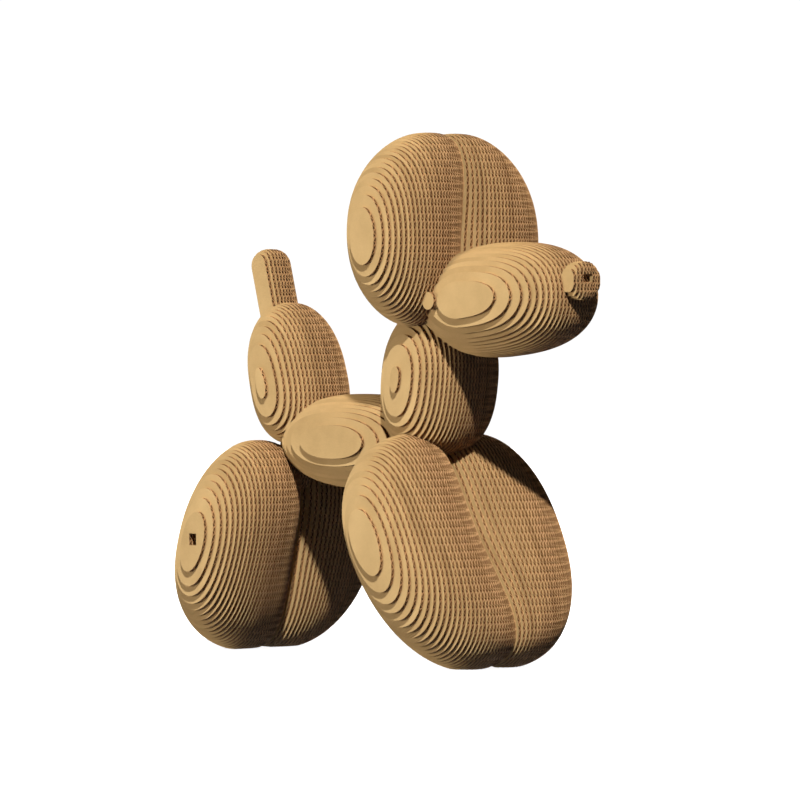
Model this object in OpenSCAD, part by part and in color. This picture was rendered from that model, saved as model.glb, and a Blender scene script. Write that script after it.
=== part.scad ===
// Balloon dog built as a stacking puzzle: flat corrugated-board slices, all parallel to the
// dog's side, threaded on square wooden sticks that run across the body.
// +X is the way the dog faces, +Y its left side, +Z up. The ground is Z = 0.

/* [Board and sticks] */
// Distance from one slice to the next, which is the board's thickness and the air beside it
pitch = 1.6; // [1.5:0.05:1.7]
// Air between one slice and the next
air = 0.03; // [0.01:0.01:0.05]
// Side of the square sticks
stick = 5; // [3:0.5:6]
// Clearance between a stick and its hole, on each side
stick_gap = 0.05; // [0.01:0.01:0.1]
// Corners along each half of a slice's outline
steps = 18; // [10:1:40]

/* [Ears] */
// Middle of the ears, forward of the origin
ear_x = 29; // [24:1:34]
// Middle of the ears above the ground
ear_z = 183; // [180:1:188]
// Backward lean of the ears, in degrees
ear_lean = 4; // [0:1:10]
// Half the length of an ear
ear_half = 41; // [36:1:46]
// Radius of an ear
ear_r = 23.5; // [22:0.5:25]
// Sideways distance of each ear from the middle
ear_side = 21; // [18:0.5:22]

/* [Snout] */
// Middle of the snout, forward of the origin
snout_x = 66; // [62:0.5:70]
// Middle of the snout above the ground
snout_z = 153; // [150:1:156]
// Upward tilt of the snout, in degrees
snout_tilt = 3; // [0:1:6]
// Half the length of the snout
snout_half = 50; // [46:1:54]
// Radius of the snout
snout_r = 23.7; // [22:0.1:23.8]
// Height of the tied end of the balloon at the nose
nose_z = 160.5; // [156:0.5:166]
// How far the tied end reaches forward
nose_tip_x = 122; // [120:0.5:128]
// Radius of the flared front of the tied end
nose_flare = 7.9; // [7:0.1:9]
// Radius of the tied end's waist
nose_waist = 6.8; // [6.6:0.1:7]

/* [Neck] */
// Middle of the neck, forward of the origin
neck_x = 27; // [24:1:30]
// Middle of the neck above the ground
neck_z = 121; // [119:0.5:123]
// Forward lean of the neck, in degrees
neck_lean = 8; // [5:1:11]
// Half the length of the neck
neck_half = 32.3; // [30:0.1:32.5]
// Radius of the neck
neck_r = 24.15; // [24.05:0.05:25]

/* [Body] */
// Middle of the body behind the origin
body_back = 23; // [20:1:26]
// Middle of the body above the ground
body_z = 93; // [90:1:96]
// Half the length of the body
body_half = 51; // [48:1:54]
// Radius of the body
body_r = 20.5; // [19:0.5:22]

/* [Front legs] */
// Middle of the front legs, forward of the origin
fore_x = 42.5; // [38:0.5:46]
// Middle of the front legs above the ground
fore_z = 48.1; // [47.8:0.1:48.6]
// How far the front legs lean, feet forward, in degrees
fore_lean = 32; // [28:1:36]
// Half the length of a front leg
fore_half = 52.5; // [50:0.5:55]
// Radius of a front leg
fore_r = 26; // [24:0.5:27]
// Sideways distance of each front leg from the middle
fore_side = 23; // [20:0.5:24]

/* [Rear legs] */
// Middle of the rear legs behind the origin
hind_back = 90; // [86:1:94]
// Middle of the rear legs above the ground
hind_z = 46.3; // [46:0.1:46.8]
// How far the rear legs lean, feet backward, in degrees
hind_lean = 23; // [19:1:27]
// Half the length of a rear leg
hind_half = 48.5; // [46:0.5:51]
// Radius of a rear leg
hind_r = 25; // [23:0.5:26]
// Sideways distance of each rear leg from the middle
hind_side = 22.5; // [20:0.5:23.5]

/* [Tail] */
// Middle of the tail bubble behind the origin
tail_back = 72.5; // [70:0.5:75]
// Middle of the tail bubble above the ground
tail_z = 122.5; // [120:0.5:125]
// Backward lean of the tail, in degrees
tail_lean = 17; // [14:1:20]
// Half the length of the tail bubble
tail_half = 31.5; // [29:0.5:33]
// Radius of the tail bubble
tail_r = 20.9; // [20.8:0.1:22.3]
// Radius of the thin tail tip
tip_r = 7.5; // [5:0.5:9]
// Top of the tail tip above the ground
tip_top_z = 177; // [170:1:184]

/* [Stacks] */
// Layers on each side of the middle one that are cut in one piece
whole_layers = 6; // [6:1:6]
// First layer of the loose ear stacks, just outside the last slice of the snout
head_first = 15; // [15:1:15]
// First layer of the loose neck and front-leg stacks
fore_first = 12; // [12:1:12]
// First layer of the loose body stacks
body_first = 11; // [11:1:11]
// First layer of the loose rear-leg stacks
hind_first = 8; // [8:1:8]
// First layer of the loose tail stacks
tail_first = 10; // [10:1:10]

/* [Hidden] */
kraft = [0.80, 0.64, 0.42];
kraft_light = [0.86, 0.71, 0.49];
kraft_mid = [0.74, 0.57, 0.36];
pale_wood = [0.88, 0.77, 0.58];

// A bubble is its middle (x, z), lean, half length, radius, side offset, how much the two of
// a pair curl together at their ends, bluntness of the front or upper end, egg shape, bow of
// the axis, how much the upper ends of a pair close in, the share along the axis where its
// stick passes, and bluntness of the rear or lower end.
EAR = [ear_x, ear_z, -ear_lean, ear_half, ear_r, ear_side, 0.48, 2.4, -0.04, 0, 0.09, -0.08, 2.4];
SNOUT = [snout_x, snout_z, 90 - snout_tilt, snout_half, snout_r, 0, 0, 2.8, 0.02, 0, 0, 0, 1.7];
NECK = [neck_x, neck_z, neck_lean, neck_half, neck_r, 0, 0, 2.2, 0, 0, 0, 0, 2.6];
BODY = [-body_back, body_z, 90, body_half, body_r, 0, 0, 2.3, 0, 0, 0, 0, 2.3];
FORE = [fore_x, fore_z, -fore_lean, fore_half, fore_r, fore_side, 0.47, 2.8, -0.04, -2, -0.058,
    0.12, 2.8];
HIND = [-hind_back, hind_z, hind_lean, hind_half, hind_r, hind_side, 0.43, 2.6, 0.06, 2.5, -0.079,
    0.1, 2.6];
TAIL = [-tail_back, tail_z, -tail_lean, tail_half, tail_r, 0, 0, 2.2, 0.05, 0, 0, 0, 2.8];

// Last layer of each bubble: the smallest slice that is still a useful piece
ear_last = 27;
snout_last = 14;
neck_last = 15;
body_last = 12;
fore_last = 30;
hind_last = 29;
tail_last = 13;
// The tied end and the tail tip are only a few layers wide
nose_layers = 4;
tip_layers = 4;
core_last = head_first - 1;
// The outer slices of a stack are blind, so that its stick is hidden
blind_layers = 2;
ear_holed = ear_last - blind_layers;
neck_holed = neck_last - blind_layers;
fore_holed = fore_last - blind_layers;
hind_holed = hind_last - blind_layers;
tail_holed = tail_last - blind_layers;

// Radius, side offset and slack of bubble b, a share t of the way from its middle to an end
function reach(b, t) = let (blunt = t < 0 ? b[12] : b[7])
    b[4] * pow(max(0, 1 - pow(abs(t), blunt)), 1 / blunt) * (1 - b[8] * t);
function away(b, t, y) = abs(abs(y) - b[5] * (1 - b[6] * t * t) + b[10] * b[3] * t);
function slack(b, t, y) = reach(b, t) - away(b, t, y);
function chord(b, t, y) = let (s = slack(b, t, y))
    s > 0 ? sqrt(pow(reach(b, t), 2) - pow(away(b, t, y), 2)) : 0;

// The share where the slice at side distance y is widest, and its two ends by halving
tries = [-0.9:0.05:0.9];
function widest(b, y) = let (s = [for (t = tries) slack(b, t, y)])
    [for (t = tries) if (slack(b, t, y) == max(s)) t][0];
function end_share(b, y, inner, outer, n = 24) = n == 0 ? inner :
    let (m = (inner + outer) / 2)
    slack(b, m, y) > 0 ? end_share(b, y, m, outer, n - 1) : end_share(b, y, inner, m, n - 1);

// One corner of a slice: t along the axis, w across it. Feet are pressed flat on the ground.
function corner(b, t, w) = let (h = b[3] * t, across = b[9] * (1 - t * t) + w)
    [b[0] + h * sin(b[2]) + across * cos(b[2]), max(0, b[1] + h * cos(b[2]) - across * sin(b[2]))];
function outline(b, y) = let (
        top = widest(b, y),
        low = end_share(b, y, top, -1),
        high = end_share(b, y, top, 1),
        share = [for (i = [0:steps]) (low + high) / 2 - (high - low) / 2 * cos(180 * i / steps)])
    concat([for (i = [0:steps]) corner(b, share[i], i % steps == 0 ? 0 : chord(b, share[i], y))],
        [for (i = [steps - 1:-1:1]) corner(b, share[i], -chord(b, share[i], y))]);

// Where each bubble's stick passes, on its bowed axis behind the middle of the outer slices
function stick_at(b) = corner(b, b[11], 0);

// Layer k of board, drawn in the X-Z plane and stood upright at its place across the dog
module layer(k) {
    board = pitch - air;
    translate([0, k * pitch + board / 2, 0]) rotate([90, 0, 0]) linear_extrude(board) children();
}

module stick_hole(b) {
    side = stick + 2 * stick_gap;
    translate(stick_at(b)) square(side, center = true);
}

// The thin tail tip: a straight finger with a round end, in line with the tail bubble
module tip_outline(k) {
    half = sqrt(tip_r * tip_r - pow(max(0, abs(k) - 0.5) * pitch, 2));
    root = [-tail_back - 11.5, tail_z + 22.5];
    length = (tip_top_z - root[1]) / cos(tail_lean) - tip_r;
    translate(root) rotate(tail_lean) polygon(concat([[-half, -6], [half, -6]],
        [for (i = [0:12]) [half * cos(15 * i), length + half * sin(15 * i)]]));
}

// The tied end of the balloon: a waist that flares to a front rim, dimpled in the middle
module nose_outline(k) {
    y = abs(k) * pitch;
    waist = sqrt(pow(nose_waist, 2) - y * y);
    flare = sqrt(pow(nose_flare, 2) - y * y);
    tip = nose_tip_x - 0.3 * max(0, abs(k) - 1);
    shape = [[tip - 16, waist], [tip - 7.5, waist], [tip - 6.2, flare], [tip - 2, flare],
        [tip - 0.6, flare - 1.3], [tip, flare - 3]];
    translate([0, nose_z]) difference() {
        polygon(concat([for (p = shape) [p[0], -p[1]]], [for (i = [len(shape) - 1:-1:0]) shape[i]]));
        if (abs(k) <= 1) translate([tip - 2.5, -0.6]) square([6, 3.2]);
    }
}

// The twists where the bubbles meet, as small round bosses of the middle layers
module twists() {
    for (p = [[33, 145, 6.5], [17, 96, 6.5], [-71, 90, 6.5], [-73.5, 79, 8.5]])
        translate([p[0], p[1]]) circle(p[2], $fn = 24);
}

// The small heel of the ear that stands out over the back of the snout's outer slice
module ear_heel() {
    translate([ear_x + 20.4, ear_z - 30.2]) circle(3.7, $fn = 20);
}

// The outline of a one-piece layer, which is every bubble that still joins the others there
module core_outline(k) {
    n = abs(k);
    y = n * pitch;
    for (b = [EAR, SNOUT]) polygon(outline(b, y));
    if (n < fore_first) for (b = [NECK, FORE]) polygon(outline(b, y));
    if (n < body_first) polygon(outline(BODY, y));
    if (n < hind_first) polygon(outline(HIND, y));
    if (n < tail_first) polygon(outline(TAIL, y));
    if (n <= whole_layers - 3) twists();
    if (n <= tip_layers) tip_outline(k);
    if (n <= nose_layers) nose_outline(k);
}

module core_slice(k) {
    n = abs(k);
    color(k % 2 == 0 ? kraft : kraft_light) layer(k) difference() {
        union() core_outline(k);
        stick_hole(EAR);
        if (n < snout_last) stick_hole(SNOUT);
        if (n < fore_first) for (b = [NECK, FORE]) stick_hole(b);
        if (n < body_first) stick_hole(BODY);
        if (n < hind_first) stick_hole(HIND);
        if (n < tail_first) stick_hole(TAIL);
    }
}

// A loose stack of one bubble's slices on one side, holed as far as layer `holed`
module stack(b, side, first, last, holed) {
    for (n = [first:last]) layer(side * n) difference() {
        union() {
            polygon(outline(b, n * pitch));
            if (b == EAR && n == head_first) ear_heel();
        }
        if (n <= holed) stick_hole(b);
    }
}

// A square stick across the dog; each end stops just inside the last holed slice
module cross_stick(b, right_layer, left_layer) {
    at = stick_at(b);
    right_end = (right_layer + 0.5) * pitch - stick_gap;
    left_end = (left_layer + 0.5) * pitch - stick_gap;
    translate([at[0] - stick / 2, -right_end, at[1] - stick / 2])
        cube([stick, right_end + left_end, stick]);
}

module ear_stack(side) color(kraft_light) stack(EAR, side, head_first, ear_last, ear_holed);
module neck_stack(side) color(kraft_mid) stack(NECK, side, fore_first, neck_last, neck_holed);
module body_stack(side) color(kraft) stack(BODY, side, body_first, body_last, body_first);
module foreleg_stack(side) color(kraft_light) stack(FORE, side, fore_first, fore_last, fore_holed);
module hindleg_stack(side, holed) color(kraft_light) stack(HIND, side, hind_first, hind_last, holed);
module tail_stack(side) color(kraft) stack(TAIL, side, tail_first, tail_last, tail_holed);

module ear_stick() color(pale_wood) cross_stick(EAR, ear_holed, ear_holed);
module snout_stick() color(pale_wood) cross_stick(SNOUT, snout_last - 1, snout_last - 1);
module neck_stick() color(pale_wood) cross_stick(NECK, neck_holed, neck_holed);
module body_stick() color(pale_wood) cross_stick(BODY, body_first, body_first);
module foreleg_stick() color(pale_wood) cross_stick(FORE, fore_holed, fore_holed);
module hindleg_stick() color(pale_wood) cross_stick(HIND, hind_holed - blind_layers, hind_holed);
module tail_stick() color(pale_wood) cross_stick(TAIL, tail_holed, tail_holed);

// The one-piece layers are named for the side and the distance from the middle
function layer_name(k) = str("layer_", k < 0 ? "right_" : k > 0 ? "left_" : "middle",
    k == 0 ? "" : abs(k) < 10 ? str("0", abs(k)) : str(abs(k)));

for (k = [-core_last:core_last]) core_slice(k);
ear_stack(-1);  // ear_stack_right
ear_stack(1);  // ear_stack_left
neck_stack(-1);  // neck_stack_right
neck_stack(1);  // neck_stack_left
body_stack(-1);  // body_stack_right
body_stack(1);  // body_stack_left
foreleg_stack(-1);  // foreleg_stack_right
foreleg_stack(1);  // foreleg_stack_left
hindleg_stack(-1, hind_last);  // hindleg_stack_right
hindleg_stack(1, hind_holed);  // hindleg_stack_left
tail_stack(-1);  // tail_stack_right
tail_stack(1);  // tail_stack_left
ear_stick();
snout_stick();
neck_stick();
body_stick();
foreleg_stick();
hindleg_stick();
tail_stick();
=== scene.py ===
import math

import bpy
import numpy as np
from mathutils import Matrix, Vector
from mathutils.geometry import tessellate_polygon


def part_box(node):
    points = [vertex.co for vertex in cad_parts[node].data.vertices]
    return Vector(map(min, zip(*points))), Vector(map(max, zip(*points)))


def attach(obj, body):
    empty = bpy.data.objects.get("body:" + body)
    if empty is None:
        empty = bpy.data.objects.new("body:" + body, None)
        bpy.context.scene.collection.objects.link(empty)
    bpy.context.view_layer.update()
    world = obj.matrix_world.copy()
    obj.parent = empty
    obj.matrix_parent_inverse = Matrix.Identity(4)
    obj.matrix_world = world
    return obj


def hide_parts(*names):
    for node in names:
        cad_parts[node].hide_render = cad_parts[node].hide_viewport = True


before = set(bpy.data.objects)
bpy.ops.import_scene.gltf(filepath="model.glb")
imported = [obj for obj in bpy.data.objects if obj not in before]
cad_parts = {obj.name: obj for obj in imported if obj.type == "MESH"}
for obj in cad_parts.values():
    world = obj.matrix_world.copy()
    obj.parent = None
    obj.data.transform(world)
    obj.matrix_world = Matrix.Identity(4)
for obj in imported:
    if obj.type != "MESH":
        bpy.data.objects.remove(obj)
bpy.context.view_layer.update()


# ---- One-piece layers ---------------------------------------------------------------------
# The 29 middle slices of fine-flute kraft board, one sheet each, but two plates in the last
# pair. Two liners are glued to a waved paper between them; the outline and the square stick
# holes are cut with a laser, which browns the edge. They are threaded on the sticks.
BOARD = 0.00157          # thickness of one sheet
PITCH = 0.0016           # from one slice to the next
LINER = 0.00014          # the two flat papers
WAVE_PAPER = 0.00021     # the waved paper between them
FLUTE = 0.00325          # from one crest of the wave to the next, up the sheet
WAVE_STEPS = 8           # corners in each wave
CORNER = math.radians(28)  # sharper turns than this stay sharp corners
CURVE_STEP = 0.0026      # longest straight stretch of a curved cut


def cut_lines(node):
    """Each slice of a board node: its middle y, and its cut lines as (x, z) loops."""
    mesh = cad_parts[node].data
    co = np.empty(len(mesh.vertices) * 3)
    mesh.vertices.foreach_get("co", co)
    co = co.reshape(-1, 3)
    mesh.calc_loop_triangles()
    tri = np.empty(len(mesh.loop_triangles) * 3, dtype=int)
    mesh.loop_triangles.foreach_get("vertices", tri)
    tri = tri.reshape(-1, 3)
    level = np.round(co[:, 1] / 5e-6).astype(int)
    spot = [(round(x * 1e7), round(z * 1e7)) for x, _, z in co]
    slices = []
    heights = sorted(set(level))
    for low in heights[::2]:
        flat = tri[(level[tri] == low).all(axis=1)]
        edges = {}
        for a, b, c in flat:
            for p, q in ((a, b), (b, c), (c, a)):
                p, q = spot[p], spot[q]
                if p == q:
                    continue
                if (q, p) in edges:
                    del edges[q, p]
                else:
                    edges[p, q] = True
        after = {}
        for p, q in edges:
            after.setdefault(p, []).append(q)
        loops = []
        while after:
            start = min(after)
            walk, here = [], start
            while here in after:
                walk.append(here)
                there = after[here].pop()
                if not after[here]:
                    del after[here]
                here = there
            loops.append(np.array(walk) * 1e-7)
        slices.append((low * 5e-6 + BOARD / 2, loops))
    return slices


def area(loop):
    x, z = loop[:, 0], loop[:, 1]
    return 0.5 * float(np.sum(x * np.roll(z, -1) - z * np.roll(x, -1)))


def inside(point, loop):
    """Whether an (x, z) point lies within a loop."""
    a, b = loop, np.roll(loop, -1, axis=0)
    hit = (a[:, 1] > point[1]) != (b[:, 1] > point[1])
    a, b = a[hit], b[hit]
    x = a[:, 0] + (b[:, 0] - a[:, 0]) * (point[1] - a[:, 1]) / (b[:, 1] - a[:, 1])
    return np.count_nonzero(x > point[0]) % 2 == 1


def smooth_cut(loop):
    """The loop with its gentle corners rounded through, as the laser runs a curve."""
    n = len(loop)
    step = np.roll(loop, -1, axis=0) - loop
    size = np.linalg.norm(step, axis=1)
    way = step / size[:, None]
    before, before_size = np.roll(way, 1, axis=0), np.roll(size, 1)
    turn = np.arccos(np.clip(np.sum(before * way, axis=1), -1, 1))
    heading = before * size[:, None] + way * before_size[:, None]
    long_before = before_size > 2.2 * size
    long_after = size > 2.2 * before_size
    heading[long_before] = before[long_before]
    heading[long_after] = way[long_after]
    heading /= np.maximum(np.linalg.norm(heading, axis=1), 1e-12)[:, None]
    sharp = turn > CORNER
    out = []
    for i in range(n):
        j = (i + 1) % n
        leave = way[i] if sharp[i] else heading[i]
        arrive = way[i] if sharp[j] else heading[j]
        bend = max(abs(leave[0] * way[i][1] - leave[1] * way[i][0]),
                   abs(arrive[0] * way[i][1] - arrive[1] * way[i][0]))
        parts = 1 if bend < 0.01 else max(1, math.ceil(size[i] / CURVE_STEP))
        for s in np.arange(parts) / parts:
            a, b = 2 * s**3 - 3 * s**2 + 1, s**3 - 2 * s**2 + s
            c, d = 3 * s**2 - 2 * s**3, s**3 - s**2
            out.append(a * loop[i] + b * size[i] * leave + c * loop[j] + d * size[i] * arrive)
    return np.array(out)


class Sheets:
    """Corners and faces of board as they are laid down, with each face's finish."""

    def __init__(self):
        self.points, self.faces, self.finish = [], [], []

    def add(self, points, faces, finish):
        base = len(self.points)
        self.points.extend(points)
        self.faces.extend(tuple(base + i for i in f) for f in faces)
        self.finish.extend([finish] * len(faces))


# The third finish serves the waved paper and also the inner faces of the liners: painted shade in the
# flute hollows.
FACE, EDGE, WAVE_AND_SHADE = 0, 1, 2


def lay_liner(sheets, loops, fill, y, side):
    """One flat paper of the sheet at y, on its right (-1) or left (1), closed by its cut edge."""
    y_front, y_back = sorted((y + side * BOARD / 2, y + side * (BOARD / 2 - LINER)))
    flat = [p for loop in loops for p in loop]
    n = len(flat)
    points = [(x, y_front, z) for x, z in flat] + [(x, y_back, z) for x, z in flat]
    # The inner face of each liner, seen only down the flute openings, takes the dark waved-paper finish:
    # painted shade inside the flutes.
    sheets.add(points, [(a, b, c) for a, b, c in fill], FACE if side < 0 else WAVE_AND_SHADE)
    sheets.add(points, [(n + c, n + b, n + a) for a, b, c in fill], WAVE_AND_SHADE if side < 0 else FACE)
    walls, base = [], 0
    for loop in loops:
        m = len(loop)
        walls += [(base + (i + 1) % m, base + i, n + base + i, n + base + (i + 1) % m)
                  for i in range(m)]
        base += m
    sheets.add(points, walls, EDGE)


def wave_at(z):
    """Where the waved paper's two skins lie, measured from the middle of the board."""
    swing = BOARD / 2 - LINER - WAVE_PAPER / 2
    middle = swing * math.sin(2 * math.pi * z / FLUTE)
    slope = swing * 2 * math.pi / FLUTE * math.cos(2 * math.pi * z / FLUTE)
    half = WAVE_PAPER / 2 * math.sqrt(1 + slope * slope)
    top = swing + WAVE_PAPER / 2 + 0.00001
    return max(-top, middle - half), min(top, middle + half)


def crossings(loops, z):
    """Every x at which the cut lines pass height z, in order."""
    xs = []
    for loop in loops:
        a, b = loop, np.roll(loop, -1, axis=0)
        hit = (a[:, 1] > z) != (b[:, 1] > z)
        a, b = a[hit], b[hit]
        xs.append(a[:, 0] + (b[:, 0] - a[:, 0]) * (z - a[:, 1]) / (b[:, 1] - a[:, 1]))
    return np.sort(np.concatenate(xs))


def lay_wave(sheets, loops, y):
    """The waved paper: level flutes that run fore and aft, and end at the cut lines."""
    heights = []
    for loop in loops:
        z = loop[:, 1]
        rise, fall = z - np.roll(z, 1), np.roll(z, -1) - z
        heights += list(z[rise * fall <= 0])
    low, high = min(heights), max(heights)
    grid = FLUTE / WAVE_STEPS
    heights += [i * grid for i in range(math.ceil(low / grid), math.floor(high / grid) + 1)]
    heights = sorted(set(round(h, 7) for h in heights))
    heights = [heights[0]] + [b for a, b in zip(heights, heights[1:]) if b - a > 4e-6]
    below = []
    for z0, z1 in zip(heights, heights[1:]):
        start, end = crossings(loops, z0 + 1e-6), crossings(loops, z1 - 1e-6)
        if len(start) != len(end):
            start = end = crossings(loops, (z0 + z1) / 2)
        f0, b0 = wave_at(z0)
        f1, b1 = wave_at(z1)
        spans = []
        for i in range(0, len(start) - 1, 2):
            l0, r0, l1, r1 = start[i], start[i + 1], end[i], end[i + 1]
            if max(r0 - l0, r1 - l1) < 2e-4:
                continue
            points = [(l0, y + f0, z0), (r0, y + f0, z0), (r1, y + f1, z1), (l1, y + f1, z1),
                      (l0, y + b0, z0), (r0, y + b0, z0), (r1, y + b1, z1), (l1, y + b1, z1)]
            ends = [(0, 3, 7, 4), (1, 5, 6, 2)]
            if not any(l0 < r and r0 > l for l, r in below):
                ends.append((0, 4, 5, 1))
            if z1 == heights[-1]:
                ends.append((3, 2, 6, 7))
            sheets.add(points, [(0, 1, 2, 3), (5, 4, 7, 6)], WAVE_AND_SHADE)
            sheets.add(points, ends, EDGE)
            spans.append((l1, r1))
        below = spans


def cut_board(piece_name, node, body):
    """All slices of one board node as real corrugated sheets, in place of the plain solids."""
    sheets = Sheets()
    lo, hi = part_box(node)
    for y, rough in cut_lines(node):
        loops = [smooth_cut(loop) for loop in rough]
        loops = [np.column_stack([np.clip(l[:, 0], lo[0], hi[0]), np.clip(l[:, 1], lo[2], hi[2])])
                 for l in loops]
        if area(max(loops, key=lambda l: abs(area(l)))) < 0:
            loops = [l[::-1] for l in loops]
        for outline in (l for l in loops if area(l) > 0):
            # One sheet: its outline, and the stick holes inside it
            sheet = [outline] + [l for l in loops if area(l) < 0 and inside(l[0], outline)]
            flat = np.concatenate(sheet)
            fill = tessellate_polygon([[Vector((x, z, 0)) for x, z in l] for l in sheet])
            fill = [f if area(flat[list(f)]) > 0 else f[::-1] for f in fill]
            for side in (-1, 1):
                lay_liner(sheets, sheet, fill, y, side)
            lay_wave(sheets, sheet, y)
    mesh = bpy.data.meshes.new(piece_name)
    mesh.from_pydata(sheets.points, [], sheets.faces)
    for m in (kraft_face, kraft_edge, wave_paper_and_shade):
        mesh.materials.append(m)
    mesh.polygons.foreach_set("material_index", sheets.finish)
    mesh.update()
    piece = bpy.data.objects.new(piece_name, mesh)
    bpy.context.collection.objects.link(piece)
    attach(piece, body)
    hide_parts(node)
    return piece


def new_group(name, inputs, outputs):
    """An empty shader node group with named sockets."""
    group = bpy.data.node_groups.new(name, "ShaderNodeTree")
    for label, kind, value in inputs:
        socket = group.interface.new_socket(label, in_out="INPUT", socket_type=kind)
        socket.default_value = value
    for label, kind in outputs:
        group.interface.new_socket(label, in_out="OUTPUT", socket_type=kind)
    nodes, links = group.nodes, group.links
    return group, nodes, links, nodes.new("NodeGroupInput"), nodes.new("NodeGroupOutput")


def math_node(nodes, links, kind, a, b=None, c=None):
    node = nodes.new("ShaderNodeMath")
    node.operation = kind
    for i, v in enumerate((a, b, c)):
        if v is None:
            continue
        if isinstance(v, (int, float)):
            node.inputs[i].default_value = v
        else:
            links.new(v, node.inputs[i])
    return node.outputs[0]


def paper_group():
    """Kraft paper: each slice its own tone, soft clouds over it, and short fibres along it."""
    F = "NodeSocketFloat"
    group, nodes, links, into, out = new_group("kraft_paper", [
        ("Slice Pitch", F, PITCH), ("Cloud Size", F, 0.022), ("Clouds", F, 0.5),
        ("Fibres", F, 0.5), ("Slice Tone", F, 0.3)],
        [("Tone", F), ("Fibre", F), ("Height", F)])
    place = nodes.new("ShaderNodeTexCoord").outputs["Object"]
    split = nodes.new("ShaderNodeSeparateXYZ")
    links.new(place, split.inputs[0])
    count = math_node(nodes, links, "DIVIDE", split.outputs["Y"], into.outputs["Slice Pitch"])
    number = math_node(nodes, links, "ROUND", count)
    own = nodes.new("ShaderNodeTexWhiteNoise")
    own.noise_dimensions = "1D"
    links.new(number, own.inputs["W"])
    shift = math_node(nodes, links, "MULTIPLY", number, 0.37)
    clouds = nodes.new("ShaderNodeTexNoise")
    clouds.noise_dimensions = "4D"
    clouds.inputs["Detail"].default_value = 4
    clouds.inputs["Roughness"].default_value = 0.55
    links.new(place, clouds.inputs["Vector"])
    links.new(shift, clouds.inputs["W"])
    links.new(math_node(nodes, links, "DIVIDE", 1.0, into.outputs["Cloud Size"]), clouds.inputs["Scale"])
    stretch = nodes.new("ShaderNodeMapping")
    stretch.inputs["Scale"].default_value = (900, 900, 5200)
    links.new(place, stretch.inputs["Vector"])
    fibre = nodes.new("ShaderNodeTexNoise")
    fibre.noise_dimensions = "4D"
    fibre.inputs["Scale"].default_value = 1
    fibre.inputs["Detail"].default_value = 3
    links.new(stretch.outputs[0], fibre.inputs["Vector"])
    links.new(shift, fibre.inputs["W"])
    cloud_part = math_node(nodes, links, "MULTIPLY",
                           math_node(nodes, links, "SUBTRACT", clouds.outputs["Fac"], 0.5),
                           into.outputs["Clouds"])
    fibre_part = math_node(nodes, links, "MULTIPLY",
                           math_node(nodes, links, "SUBTRACT", fibre.outputs["Fac"], 0.5),
                           into.outputs["Fibres"])
    own_part = math_node(nodes, links, "MULTIPLY",
                         math_node(nodes, links, "SUBTRACT", own.outputs["Value"], 0.5),
                         into.outputs["Slice Tone"])
    tone = math_node(nodes, links, "ADD", math_node(nodes, links, "ADD", cloud_part, fibre_part), own_part)
    tone = math_node(nodes, links, "ADD", tone, 0.5)
    links.new(tone, out.inputs["Tone"])
    links.new(fibre.outputs["Fac"], out.inputs["Fibre"])
    links.new(math_node(nodes, links, "ADD", fibre.outputs["Fac"],
                        math_node(nodes, links, "MULTIPLY", clouds.outputs["Fac"], 0.5)),
              out.inputs["Height"])
    return group


paper = paper_group()


def paper_material(name, dark, light, clouds, fibres, slice_tone, rough, bump):
    """One kraft finish: two browns mixed by the paper's tone, and a fibrous matt surface."""
    mat = bpy.data.materials.new(name)
    mat.use_nodes = True
    nodes, links = mat.node_tree.nodes, mat.node_tree.links
    shader = nodes["Principled BSDF"]
    made = nodes.new("ShaderNodeGroup")
    made.node_tree = paper
    made.inputs["Clouds"].default_value = clouds
    made.inputs["Fibres"].default_value = fibres
    made.inputs["Slice Tone"].default_value = slice_tone
    mix = nodes.new("ShaderNodeMix")
    mix.data_type = "RGBA"
    mix.inputs["A"].default_value = (*dark, 1)
    mix.inputs["B"].default_value = (*light, 1)
    links.new(made.outputs["Tone"], mix.inputs["Factor"])
    links.new(mix.outputs["Result"], shader.inputs["Base Color"])
    links.new(math_node(nodes, links, "MULTIPLY_ADD", made.outputs["Fibre"], 0.12, rough - 0.06),
              shader.inputs["Roughness"])
    shader.inputs["Specular IOR Level"].default_value = 0.25
    press = nodes.new("ShaderNodeBump")
    press.inputs["Strength"].default_value = bump
    press.inputs["Distance"].default_value = 0.00004
    links.new(made.outputs["Height"], press.inputs["Height"])
    links.new(press.outputs["Normal"], shader.inputs["Normal"])
    return mat


kraft_face = paper_material("kraft_liner", (0.49, 0.32, 0.132), (0.74, 0.515, 0.235),
                            1.5, 0.5, 0.22, 0.86, 0.35)
kraft_edge = paper_material("laser_cut_edge", (0.31, 0.150, 0.052), (0.84, 0.50, 0.22),
                            0.9, 0.9, 0.3, 0.9, 0.4)
# The waved paper: partly its own browner colour, partly painted shade, made darker so that the flute
# openings read dark.
wave_paper_and_shade = paper_material("waved_paper_and_flute_shade", (0.19, 0.086, 0.031), (0.47, 0.245, 0.100),
                            0.8, 0.6, 0.3, 0.9, 0.4)

for node in sorted(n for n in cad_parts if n.startswith("layer_")):
    cut_board("board_" + node[6:], node, "backbone")


# ---- Loose stacks -------------------------------------------------------------------------
# The outer slices of the ears, neck, body, legs and tail, of the same board. Each stack slides
# off its stick sideways. The last slices have no hole, so that the stick doesn't show, except
# on the right rear leg, where the hole goes right through.
for bubble in ("ear", "neck", "body", "foreleg", "hindleg", "tail"):
    for side in ("right", "left"):
        cut_board(bubble + "_slices_" + side, bubble + "_stack_" + side, bubble + "_" + side)


# ---- Cross sticks -------------------------------------------------------------------------
# Seven square sticks of pale softwood, sawn to length, that the slices are threaded on. Their
# long corners are rubbed down a little so that they start into the holes.
CHAMFER = 0.00035


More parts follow.
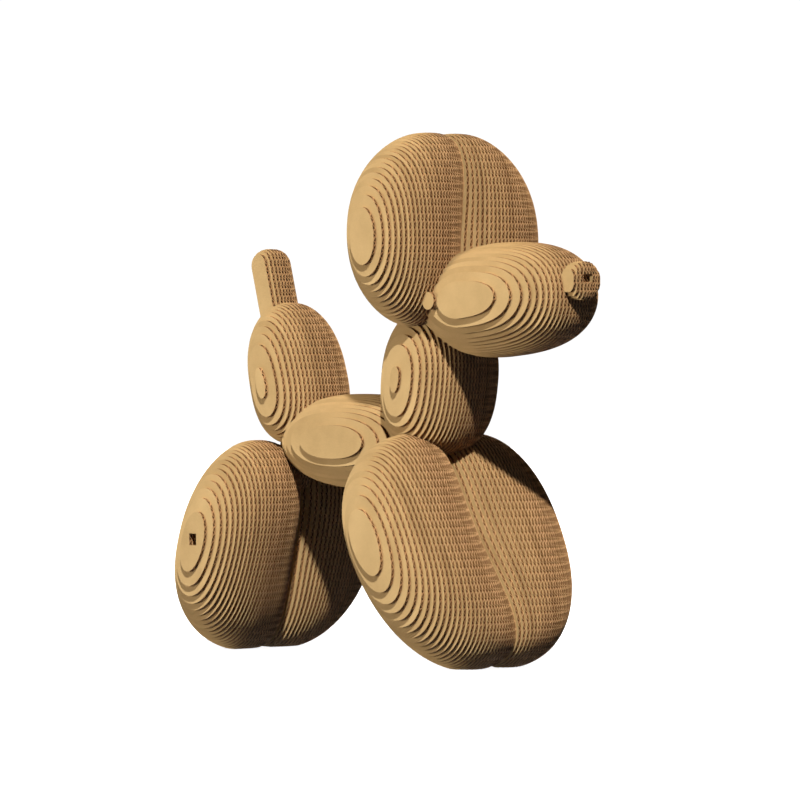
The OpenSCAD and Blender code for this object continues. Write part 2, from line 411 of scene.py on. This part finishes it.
def wood_group():
    """Straight grain along the stick: fine darker lines and slow changes of tone."""
    F = "NodeSocketFloat"
    group, nodes, links, into, out = new_group("stick_grain", [
        ("Line Spacing", F, 0.0007), ("Contrast", F, 0.6)], [("Tone", F), ("Height", F)])
    place = nodes.new("ShaderNodeTexCoord").outputs["Object"]
    wander = nodes.new("ShaderNodeMapping")
    wander.inputs["Scale"].default_value = (160, 9, 160)
    links.new(place, wander.inputs["Vector"])
    drift = nodes.new("ShaderNodeTexNoise")
    drift.inputs["Scale"].default_value = 1
    drift.inputs["Detail"].default_value = 2
    links.new(wander.outputs[0], drift.inputs["Vector"])
    split = nodes.new("ShaderNodeSeparateXYZ")
    links.new(place, split.inputs[0])
    across = math_node(nodes, links, "ADD", split.outputs["Z"],
                       math_node(nodes, links, "MULTIPLY", split.outputs["X"], 0.45))
    across = math_node(nodes, links, "ADD", across,
                       math_node(nodes, links, "MULTIPLY", drift.outputs["Fac"], 0.004))
    lines = math_node(nodes, links, "SINE", math_node(nodes, links, "MULTIPLY", math_node(
        nodes, links, "DIVIDE", across, into.outputs["Line Spacing"]), 2 * math.pi))
    lines = math_node(nodes, links, "POWER", math_node(nodes, links, "MULTIPLY_ADD", lines, 0.5, 0.5), 3.0)
    pores = nodes.new("ShaderNodeMapping")
    pores.inputs["Scale"].default_value = (5200, 420, 5200)
    links.new(place, pores.inputs["Vector"])
    fine = nodes.new("ShaderNodeTexNoise")
    fine.inputs["Scale"].default_value = 1
    links.new(pores.outputs[0], fine.inputs["Vector"])
    tone = math_node(nodes, links, "MULTIPLY", lines, into.outputs["Contrast"])
    tone = math_node(nodes, links, "ADD", tone,
                     math_node(nodes, links, "MULTIPLY", fine.outputs["Fac"], 0.35))
    links.new(tone, out.inputs["Tone"])
    links.new(math_node(nodes, links, "SUBTRACT", fine.outputs["Fac"],
                        math_node(nodes, links, "MULTIPLY", lines, 0.4)), out.inputs["Height"])
    return group


def stick_material():
    mat = bpy.data.materials.new("pale_softwood")
    mat.use_nodes = True
    nodes, links = mat.node_tree.nodes, mat.node_tree.links
    shader = nodes["Principled BSDF"]
    grain = nodes.new("ShaderNodeGroup")
    grain.node_tree = wood_group()
    mix = nodes.new("ShaderNodeMix")
    mix.data_type = "RGBA"
    mix.inputs["A"].default_value = (0.74, 0.55, 0.33, 1)
    mix.inputs["B"].default_value = (0.50, 0.32, 0.16, 1)
    links.new(grain.outputs["Tone"], mix.inputs["Factor"])
    links.new(mix.outputs["Result"], shader.inputs["Base Color"])
    links.new(math_node(nodes, links, "MULTIPLY_ADD", grain.outputs["Tone"], 0.15, 0.55),
              shader.inputs["Roughness"])
    press = nodes.new("ShaderNodeBump")
    press.inputs["Strength"].default_value = 0.4
    press.inputs["Distance"].default_value = 0.00005
    links.new(grain.outputs["Height"], press.inputs["Height"])
    links.new(press.outputs["Normal"], shader.inputs["Normal"])
    return mat


softwood = stick_material()


def saw_stick(piece_name, node):
    """A square stick with its long corners and the rims of its ends rubbed down."""
    (x0, y0, z0), (x1, y1, z1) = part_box(node)
    c = CHAMFER
    ring = [(x0 + c, z0), (x1 - c, z0), (x1, z0 + c), (x1, z1 - c),
            (x1 - c, z1), (x0 + c, z1), (x0, z1 - c), (x0, z0 + c)]
    mx, mz, w = (x0 + x1) / 2, (z0 + z1) / 2, (x1 - x0) / 2
    worn = [(mx + (x - mx) * (w - c) / w, mz + (z - mz) * (w - c) / w) for x, z in ring]
    stations = [(y0, worn), (y0 + c, ring)]
    lengths = max(2, round((y1 - y0) / 0.008))
    stations += [(y0 + c + (y1 - y0 - 2 * c) * i / lengths, ring) for i in range(1, lengths)]
    stations += [(y1 - c, ring), (y1, worn)]
    points = [(x, y, z) for y, outline in stations for x, z in outline]
    faces = []
    for s in range(len(stations) - 1):
        for i in range(8):
            j = (i + 1) % 8
            faces.append((s * 8 + j, s * 8 + i, s * 8 + 8 + i, s * 8 + 8 + j))
    last = (len(stations) - 1) * 8
    faces.append(tuple(range(8)))
    faces.append(tuple(last + i for i in reversed(range(8))))
    mesh = bpy.data.meshes.new(piece_name)
    mesh.from_pydata(points, [], faces)
    mesh.materials.append(softwood)
    mesh.update()
    piece = bpy.data.objects.new(piece_name, mesh)
    bpy.context.collection.objects.link(piece)
    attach(piece, "backbone")
    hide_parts(node)


for bubble in ("ear", "snout", "neck", "body", "foreleg", "hindleg", "tail"):
    saw_stick(bubble + "_dowel", bubble + "_stick")


# ---- Studio -------------------------------------------------------------------------------
# A white table, a sun-like key lamp high at the dog's front right, a softer lamp level with its
# right side, a soft one behind its left, and a camera at the front right, level with the neck.
def table():
    r = 4.0
    mesh = bpy.data.meshes.new("table")
    ring = [(r * math.cos(math.tau * i / 64), r * math.sin(math.tau * i / 64), 0) for i in range(64)]
    mesh.from_pydata(ring, [], [tuple(range(64))])
    mat = bpy.data.materials.new("white_table")
    mat.use_nodes = True
    nodes, links = mat.node_tree.nodes, mat.node_tree.links
    shader = nodes["Principled BSDF"]
    shader.inputs["Base Color"].default_value = (0.85, 0.85, 0.85, 1)
    shader.inputs["Roughness"].default_value = 0.9
    shader.inputs["Emission Color"].default_value = (1, 1, 1, 1)
    shader.inputs["Emission Strength"].default_value = 0.95
    mesh.materials.append(mat)
    top = bpy.data.objects.new("table", mesh)
    bpy.context.collection.objects.link(top)
    top.visible_diffuse = False


table()


def lamp(name, direction, energy, spread, color=(1, 1, 1)):
    """A distant sun-like lamp, as wide across the sky as its spread in degrees."""
    data = bpy.data.lights.new(name, "SUN")
    data.energy = energy
    data.color = color
    data.angle = math.radians(spread)
    light = bpy.data.objects.new(name, data)
    aim = Vector(direction).normalized()
    light.location = Vector((0, 0, 0.11)) + aim * 1.5
    light.rotation_euler = aim.to_track_quat("Z", "Y").to_euler()
    bpy.context.collection.objects.link(light)


lamp("key", (1.3, -1.0, 1.75), 4.3, 2.0)
lamp("side_fill", (-0.35, -1.0, 0.05), 1.75, 20, (1.0, 0.88, 0.74))
lamp("back_fill", (-0.6, 1.0, 0.5), 1.3, 30, (1.0, 0.92, 0.82))

world = bpy.data.worlds.new("studio")
world.use_nodes = True
nodes, links = world.node_tree.nodes, world.node_tree.links
sky = nodes["Background"]
sky.inputs["Color"].default_value = (1, 1, 1, 1)
seen = nodes.new("ShaderNodeLightPath")
links.new(math_node(nodes, links, "MULTIPLY_ADD", seen.outputs["Is Camera Ray"], 1.0, 0.04),
          sky.inputs["Strength"])
bpy.context.scene.world = world

camera_data = bpy.data.cameras.new("camera")
camera_data.sensor_width = 36
camera_data.lens = 189.5
camera_data.shift_y = -0.06125
camera = bpy.data.objects.new("camera", camera_data)
turn = math.radians(51.3)
camera.location = (1.8 * math.sin(turn), -1.8 * math.cos(turn), 0.132)
camera.rotation_euler = (math.radians(90), 0, turn)
bpy.context.collection.objects.link(camera)
bpy.context.scene.camera = camera
bpy.context.scene.view_settings.view_transform = "Standard"
